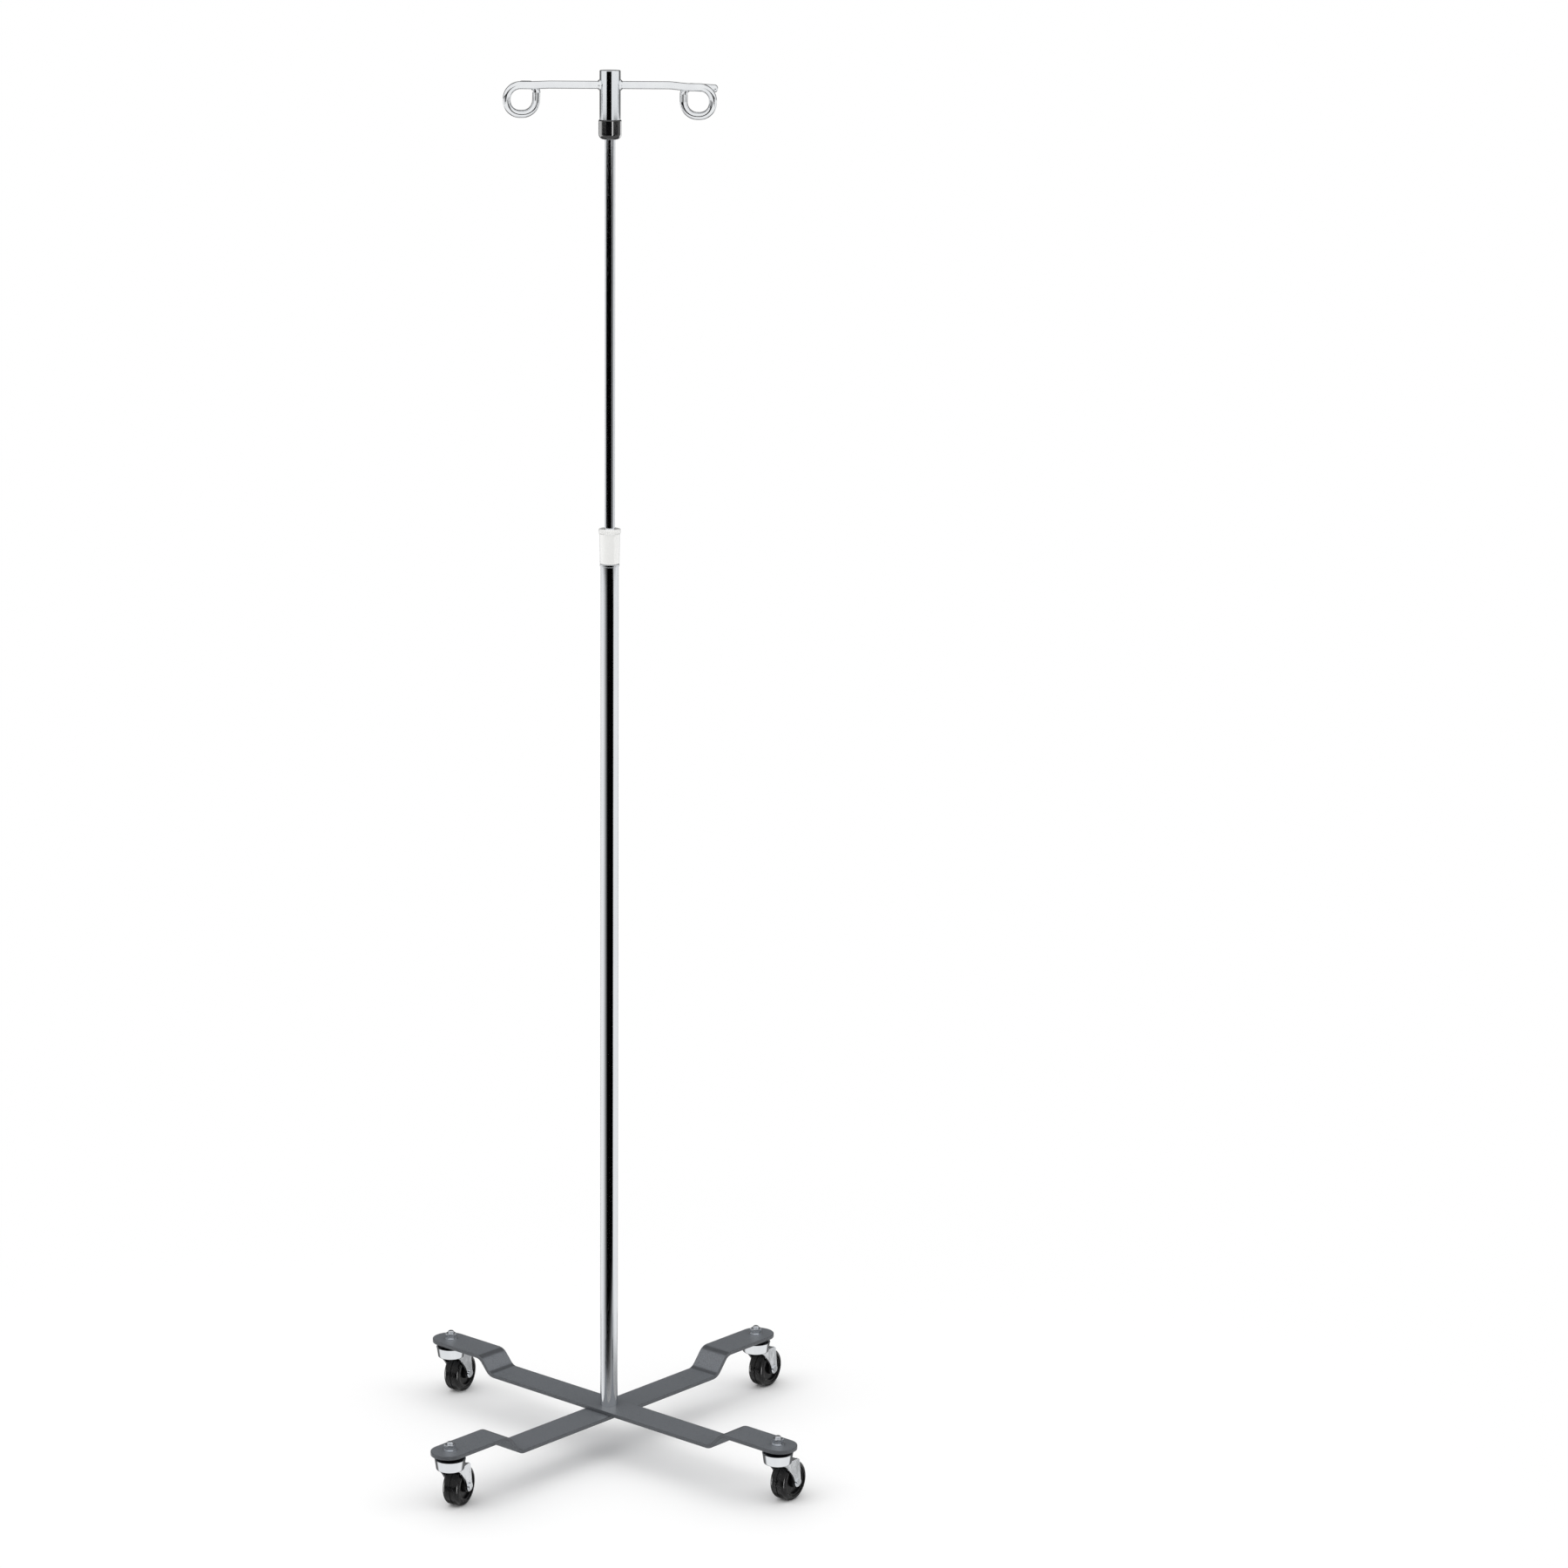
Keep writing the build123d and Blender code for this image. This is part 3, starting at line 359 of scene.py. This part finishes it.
for side, hook in ((-1, "hook_left"), (1, "hook_right")):
    # The arm's height is that of its stub, the straight end inside the sleeve.
    coordinates = np.empty(len(nodes[hook].data.vertices) * 3)
    nodes[hook].data.vertices.foreach_get("co", coordinates)
    vertices = coordinates.reshape(-1, 3)
    stub = vertices[np.abs(vertices[:, 0]) < sleeve_radius - stub_margin]
    arm_z = (stub[:, 2].max() + stub[:, 2].min()) / 2
    bead = mesh_piece(f"weld_{hook}", weld_bead(side, arm_z), wrap_u=True, wrap_v=True)
    bead.data.materials.append(hook_chrome)
    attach(bead, "mast")


# ---------------------------------------------------------------- caster nuts
# Each caster's threaded stem comes up through a bar's end and takes a washer and a bright zinc
# hexagon nut. The stem's rolled thread shows above the nut.
wear(zinc, "caster_nuts", "caster_washers")
caster_names = [name[: -len("_stem")] for name in nodes if name.endswith("_stem")]
nut_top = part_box("caster_nuts")[1][2]
thread_pitch = 1.25 * MM
thread_depth = 0.35 * MM
thread_crest = 4.05 * MM
start_in_nut = 0.4 * MM
bare_tip = 0.9 * MM
thread_rows = 34
thread_columns = 56


def thread(stem_box):
    """The thread above the nut: its radius is the crest's less a triangle wave of the height less
    the turn round, one pitch for each full turn, and both ends close in under the stem's surface."""
    low, high = (np.array(corner) for corner in stem_box)
    centre = (low + high) / 2
    rise = np.linspace(nut_top - start_in_nut, high[2] - bare_tip, thread_rows)[:, None]
    turn = np.linspace(0, 2 * np.pi, thread_columns, endpoint=False)[None, :]
    phase = np.mod(rise / thread_pitch - turn / (2 * np.pi), 1.0)
    radius = thread_crest - thread_depth * (1 - np.abs(2 * phase - 1))
    radius[0] = radius[-1] = thread_crest - 2 * thread_depth
    x = centre[0] + radius * np.cos(turn)
    y = centre[1] + radius * np.sin(turn)
    return np.stack([x, y, rise + 0 * turn], axis=-1)[:, ::-1]


for caster in caster_names:
    screw = mesh_piece(f"{caster}_thread", thread(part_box(f"{caster}_stem")), wrap_v=True)
    screw.data.materials.append(zinc)
    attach(screw, "stand")
    wear(zinc, f"{caster}_stem")


# ---------------------------------------------------------------- casters
# A fork swivels on balls round the stem and carries a wheel on a riveted axle. It is pressed from
# sheet and then chromed, so its mirror is wavy. The wheel is a black moulded hub with a smooth black
# rubber tyre, and the raceway is zinc painted nearly black as painted shade for the gap under the bar.
fork_chrome = chrome_plate("chrome_on_pressed_fork", dark="#d2d5d9", light="#e6e8ea",
                           stretch=3.0, ripple=0.3 * MM, gloss=(0.03, 0.1))

# Painted shade: the raceway's plate is painted nearly black, with grey patches, for the shade in the gap
# between bar and fork.
race_patch_width = 4 * MM
race_in_painted_shade, tree, shader, place = new_finish("zinc_painted_as_shade", Metallic=1.0)
race_patches = add(tree, "ShaderNodeTexNoise", {"Vector": place, "Scale": 1 / race_patch_width, "Detail": 4.0})
race_painted_shade = add(tree, "ShaderNodeMixRGB", {0: race_patches.outputs["Fac"], 1: linear("#232326"), 2: linear("#55565a")})
tree.links.new(race_painted_shade.outputs[0], shader.inputs["Base Color"])
race_roughness = add(tree, "ShaderNodeMapRange", {"Value": race_patches.outputs["Fac"], "To Min": 0.25, "To Max": 0.5})
tree.links.new(race_roughness.outputs[0], shader.inputs["Roughness"])

# The hub has a spark-eroded mould texture: an even satin. Its grains are drawn about three times
# coarser than real ones, so that they show.
spark_grain = 0.9 * MM
spark_relief = 0.03 * MM
hub_plastic, tree, shader, place = new_finish(
    "black_moulded_polypropylene", IOR=1.49, Specular_IOR_Level=0.3)
spark = add(tree, "ShaderNodeTexNoise", {"Vector": place, "Scale": 1 / spark_grain, "Detail": 3.0})
coal = add(tree, "ShaderNodeMixRGB", {0: spark.outputs["Fac"], 1: linear("#050506"), 2: linear("#0e0e0f")})
tree.links.new(coal.outputs[0], shader.inputs["Base Color"])
satin = add(tree, "ShaderNodeMapRange", {"Value": spark.outputs["Fac"], "To Min": 0.28, "To Max": 0.46})
tree.links.new(satin.outputs[0], shader.inputs["Roughness"])
texture = add(tree, "ShaderNodeBump",
              {"Height": spark.outputs["Fac"], "Distance": spark_relief, "Strength": 0.5})
tree.links.new(texture.outputs[0], shader.inputs["Normal"])

# The tyre is vulcanised in a smooth mould: black with a soft gloss, scuffed duller in patches, and
# with pores that are drawn coarse, so that they show.
scuff_patch = 7 * MM
pore_width = 1.1 * MM
pore_relief = 0.03 * MM
rubber, tree, shader, place = new_finish("black_vulcanised_rubber", IOR=1.45, Specular_IOR_Level=0.3)
scuff = add(tree, "ShaderNodeTexNoise",
            {"Vector": place, "Scale": 1 / scuff_patch, "Detail": 5.0, "Roughness": 0.65})
dusty = add(tree, "ShaderNodeMixRGB",
            {0: scuff.outputs["Fac"], 1: linear("#030304"), 2: linear("#0b0b0c")})
tree.links.new(dusty.outputs[0], shader.inputs["Base Color"])
rubbed = add(tree, "ShaderNodeMapRange", {"Value": scuff.outputs["Fac"], "To Min": 0.16, "To Max": 0.3})
tree.links.new(rubbed.outputs[0], shader.inputs["Roughness"])
pores = add(tree, "ShaderNodeTexNoise", {"Vector": place, "Scale": 1 / pore_width, "Detail": 2.0})
cast_skin = add(tree, "ShaderNodeBump",
                {"Height": pores.outputs["Fac"], "Distance": pore_relief, "Strength": 0.4})
tree.links.new(cast_skin.outputs[0], shader.inputs["Normal"])

for caster in caster_names:
    wear(fork_chrome, f"{caster}_fork", f"{caster}_axle")
    wear(race_in_painted_shade, f"{caster}_race")
    wear(zinc, f"{caster}_balls", f"{caster}_axle_sleeve")
    wear(hub_plastic, f"{caster}_hub")
    wear(rubber, f"{caster}_tyre")


# ---------------------------------------------------------------- camera
# A long lens five metres off, a little above the head of the pole and tilted down to its middle.
# It stands slightly to the left, looks past the pole's right side and is very slightly rolled.
camera_distance = 5.2033
camera_height = 2.0132
camera_azimuth = radians(-1.943)
camera_yaw = radians(-2.411)
camera_tilt = radians(12.263)
camera_roll = radians(0.564)
camera_place = Vector((
    camera_distance * sin(camera_azimuth), -camera_distance * cos(camera_azimuth), camera_height))
turn = camera_azimuth + camera_yaw
ahead = Vector((-sin(turn), cos(turn), 0)) * cos(camera_tilt) - Vector((0, 0, sin(camera_tilt)))
right = ahead.cross(Vector((0, 0, 1))).normalized()
up = right.cross(ahead)
rolled_right = right * cos(camera_roll) + up * sin(camera_roll)
rolled_up = up * cos(camera_roll) - right * sin(camera_roll)
camera = bpy.data.objects.new("camera", bpy.data.cameras.new("camera"))
camera.data.lens = 97.39
camera.data.sensor_width = 36.0
camera.data.clip_end = 200.0
axes = Matrix((rolled_right, rolled_up, -ahead)).transposed()
camera.matrix_world = Matrix.Translation(camera_place) @ axes.to_4x4()
bpy.context.scene.collection.objects.link(camera)
bpy.context.scene.camera = camera


# ---------------------------------------------------------------- studio
# A white floor takes the stand's shadow and fades into a white surround, which lights the stand
# more from overhead, with two soft lamps. Reflections don't see the floor or the lamps.
floor_size = 14.0
fade_start = 0.45
fade_end = 1.3
floor_points = np.array([[[-1, -1, 0], [1, -1, 0]], [[-1, 1, 0], [1, 1, 0]]]) * floor_size / 2
floor = mesh_piece("floor", floor_points[:, ::-1])
floor_paint = bpy.data.materials.new("white_studio_floor")
floor_paint.use_nodes = True
tree = floor_paint.node_tree
tree.nodes.remove(tree.nodes["Principled BSDF"])
place = add(tree, "ShaderNodeTexCoord").outputs["Object"]
reach = add(tree, "ShaderNodeVectorMath", {0: place}, operation="LENGTH")
fade = add(tree, "ShaderNodeMapRange",
           {"Value": reach.outputs["Value"], "From Min": fade_start, "From Max": fade_end},
           interpolation_type="SMOOTHSTEP")
paper = add(tree, "ShaderNodeBsdfDiffuse", {"Color": (0.95, 0.95, 0.95, 1)})
glow = add(tree, "ShaderNodeEmission", {"Color": (1, 1, 1, 1), "Strength": 1.0})
blended = add(tree, "ShaderNodeMixShader", {0: fade.outputs[0], 1: paper.outputs[0], 2: glow.outputs[0]})
tree.links.new(blended.outputs[0], tree.nodes["Material Output"].inputs["Surface"])
floor.data.materials.append(floor_paint)
floor.visible_glossy = False
floor.visible_transmission = False

world = bpy.data.worlds.new("white_surround")
world.use_nodes = True
bpy.context.scene.world = world
tree = world.node_tree
rays = add(tree, "ShaderNodeLightPath")
seen = add(tree, "ShaderNodeMath", {0: rays.outputs["Is Camera Ray"], 1: rays.outputs["Is Glossy Ray"]},
           operation="MAXIMUM")
seen_through = add(tree, "ShaderNodeMath", {0: seen.outputs[0], 1: rays.outputs["Is Transmission Ray"]},
                   operation="MAXIMUM")
heading = add(tree, "ShaderNodeSeparateXYZ", {0: add(tree, "ShaderNodeTexCoord").outputs["Generated"]})
overhead = add(tree, "ShaderNodeMapRange", {"Value": heading.outputs["Z"], "To Min": 0.6, "To Max": 1.1})
level = add(tree, "ShaderNodeMixRGB",
            {0: seen_through.outputs[0], 1: overhead.outputs[0], 2: (1, 1, 1, 1)})
tree.links.new(level.outputs[0], tree.nodes["Background"].inputs["Color"])
tree.nodes["Background"].inputs["Strength"].default_value = 1.0


def lamp(name, place, target, size, power):
    """A square soft lamp that faces its target and doesn't show in reflections."""
    light = bpy.data.lights.new(name, "AREA")
    light.size = size
    light.energy = power
    made = bpy.data.objects.new(name, light)
    made.location = place
    made.rotation_euler = (Vector(target) - Vector(place)).to_track_quat("-Z", "Y").to_euler()
    made.visible_glossy = False
    bpy.context.scene.collection.objects.link(made)


lamp("key_lamp", place=(-2.2, -1.8, 3.8), target=(0, 0, 0.6), size=2.2, power=30)
lamp("fill_lamp", place=(2.6, -1.0, 3.0), target=(0, 0, 0.6), size=2.2, power=12)


# ---------------------------------------------------------------- reflected cards
# Curved sheets stand far off, where only reflections see them. Dark ones give the chrome its
# lines, and two that glow give the black bushing and the tyres their gleams.
card_radius = 20.0
card_step = 0.5


def card_height(pole_height, radius=card_radius):
    """Where a ray from the camera, turned back by the upright pole at that height, meets a card."""
    return pole_height - radius * (camera_height - pole_height) / camera_distance


def soft_step(value, start, stop):
    """0 before start and 1 after stop, easing between them as 3 t^2 - 2 t^3."""
    t = np.clip((value - start) / (stop - start), 0, 1)
    return t * t * (3 - 2 * t)


def between(value, start, full, last, stop):
    """0 before start and after stop, 1 from full to last, and soft steps between them."""
    return soft_step(value, start, full) * (1 - soft_step(value, last, stop))


def card(name, bearings, heights, cover, glow=0.0, glow_on=(), radius=card_radius):
    """A sheet round the stand, at that radius, from its bearings off the camera's side and its
    heights. Its cover is how much of the white surround it hides at each point, and its glow is
    added for the few nodes that are named: a glow as large as the cover looks like no card."""
    points = np.stack([
        radius * np.sin(bearings + camera_azimuth) + 0 * heights,
        -radius * np.cos(bearings + camera_azimuth) + 0 * heights,
        heights + 0 * bearings,
    ], axis=-1)
    sheet = mesh_piece(name, points)
    for field, amount in (("cover", cover), ("glow", glow)):
        layer = sheet.data.attributes.new(field, "FLOAT", "POINT")
        layer.data.foreach_set("value", (amount + 0 * points[:, :, 0]).reshape(-1).astype(np.float32))
    paint = bpy.data.materials.new(name)
    paint.use_nodes = True
    paint.cycles.emission_sampling = "NONE"
    tree = paint.node_tree
    tree.nodes.remove(tree.nodes["Principled BSDF"])
    hidden = add(tree, "ShaderNodeAttribute", attribute_name="cover")
    clear = add(tree, "ShaderNodeBsdfTransparent")
    black = add(tree, "ShaderNodeEmission", {"Strength": 0.0})
    veil = add(tree, "ShaderNodeMixShader",
               {0: hidden.outputs["Fac"], 1: clear.outputs[0], 2: black.outputs[0]})
    lit = add(tree, "ShaderNodeAttribute", attribute_name="glow")
    light = add(tree, "ShaderNodeEmission", {"Color": (1, 1, 1, 1), "Strength": lit.outputs["Fac"]})
    both = add(tree, "ShaderNodeAddShader", {0: veil.outputs[0], 1: light.outputs[0]})
    tree.links.new(both.outputs[0], tree.nodes["Material Output"].inputs["Surface"])
    sheet.data.materials.append(paint)
    if glow_on:
        receivers = bpy.data.collections.new(f"{name}_lit")
        for node in glow_on:
            receivers.objects.link(nodes[node])
        sheet.light_linking.receiver_collection = receivers
    sheet.visible_camera = False
    sheet.visible_diffuse = False
    sheet.visible_shadow = False
    sheet.visible_transmission = False


# Each row of the low card is where the camera's ray, turned back by the pole at one height, meets
# it. So what is drawn for a height shows there on the pole, stretch by stretch. The rows run past
# the pole's ends for the pieces around them.
bearings = np.radians(np.linspace(-180, 180, 361))[None, :]
degrees = np.degrees(bearings)
pole_heights = np.linspace(-0.3, 1.9, 200)[:, None]
joint_blur = 0.004
sleeve_foot = sleeve_low[2]
bush_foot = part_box("head_bushing")[0][2]
ring_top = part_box("lock_ring")[1][2]
wedge_foot = 0.1
wedge_top = 0.28
on_sleeve = soft_step(pole_heights, sleeve_foot - joint_blur, sleeve_foot + joint_blur)
on_bush = soft_step(pole_heights, bush_foot - joint_blur, bush_foot + joint_blur) - on_sleeve
on_tube = 1 - soft_step(pole_heights, ring_top - 0.05, ring_top - 0.04)
on_rod = 1 - on_tube - on_bush - on_sleeve
near_base = on_tube * (1 - soft_step(pole_heights, wedge_foot, wedge_top))

# The black line on each stretch: the bearings in degrees where it starts, is full, last is full
# and stops. From one stretch to the next its edges slide over, so it is a wedge near the base,
# and at the tube's very foot it fades.
line_edges = (
    (on_tube - near_base, (-97, -24, 47, 57)),
    (near_base, (-97, -24, -13, 107)),
    (on_rod, (-122, -74, 36, 42)),
    (on_bush, (-92, -82, 13, 19)),
    (on_sleeve, (-43, -36, 13, 19)),
)
starts, full, last, stops = (sum(part * edges[i] for part, edges in line_edges) for i in range(4))
line_fade = 1 - 0.9 * (1 - soft_step(pole_heights, 0.065, 0.105))
black_line = line_fade * between(degrees, starts, full, last, stops)

# Beside it the rod has a grey line, the bushing a second black one, and the far side a line of its
# own. The tube is dim near the grey bars, and slanting bands cross the forks below them.
rod_grey = 0.74 * on_rod * between(degrees, 34, 38, 72, 96)
bush_black = on_bush * between(degrees, 36, 42, 85, 100)
far_line = 0.92 * soft_step(np.abs(degrees), 146, 160) * soft_step(pole_heights, 0.1, 0.2)
near_bars = between(pole_heights, 0.02, 0.04, 0.1, 0.16)
foot_dim = 0.62 * near_bars * between(degrees, -80, -40, 120, 150)
band_bearing = 13
band_height = 0.09
slant = np.cos(2 * np.pi * (degrees / band_bearing + pole_heights / band_height))
under_bars = 1 - soft_step(pole_heights, 0.02, 0.04)
fork_bands = 0.9 * under_bars * soft_step(slant, 0.5, 0.85) * soft_step(np.abs(degrees), 20, 30)
cover = np.maximum.reduce([black_line, rod_grey, bush_black, far_line, foot_dim, fork_bands])

# For the hooks the card's middle glows as much as it hides, so that their arms mirror white.
hook_glow = cover * between(degrees, -8, -3, 11, 16)
card("low_card", bearings, card_height(pole_heights), cover,
     glow=hook_glow, glow_on=("hook_left", "hook_right"))

# The gleam cards stand one step nearer each, so that no two cards meet. The bushing mirrors a soft
# gleam by each edge and a thin one by its middle, and the tyres mirror two thin ones.
soft_gleam = 3.0
thin_gleam = 11.0
tyre_gleam = 24.0
bushing_card_radius = card_radius - card_step
tyre_card_radius = bushing_card_radius - card_step
gleam_heights = card_height(pole_heights, bushing_card_radius)
at_edges = between(degrees, -140, -126, -94, -84) + between(degrees, 122, 132, 150, 160)
bushing_glow = soft_gleam * at_edges + thin_gleam * between(degrees, 18, 21, 29, 32)
card("bushing_gleam_card", bearings, gleam_heights, cover=0.0,
     glow=bushing_glow, glow_on=("head_bushing",), radius=bushing_card_radius)
tyres = [f"{caster}_tyre" for caster in caster_names]
tyre_glow = tyre_gleam * (between(degrees, -102, -98, -90, -86) + between(degrees, 18, 22, 30, 34))
card("tyre_gleam_card", bearings, gleam_heights, cover=0.0,
     glow=tyre_glow, glow_on=tyres, radius=tyre_card_radius)

# Two tall cards stand behind, above and below the low one. Level pieces, such as the hooks' arms,
# mirror them along their upper and lower edges.
back_cover = 0.85
back_reach = 40
back_radius = card_radius + card_step
back_bearings = np.radians(np.linspace(100, 260, 61))[None, :]
back_shade = back_cover * soft_step(np.abs(np.degrees(back_bearings) - 180), 78, 55)
above = card_height(1.7) + np.linspace(0, back_reach, 41)[:, None]
below = card_height(0.0) - np.linspace(1, back_reach, 41)[:, None]
card("upper_back_card", back_bearings, above, back_shade, radius=back_radius)
card("lower_back_card", back_bearings, below, back_shade, radius=back_radius)

bpy.context.scene.view_settings.view_transform = "Standard"
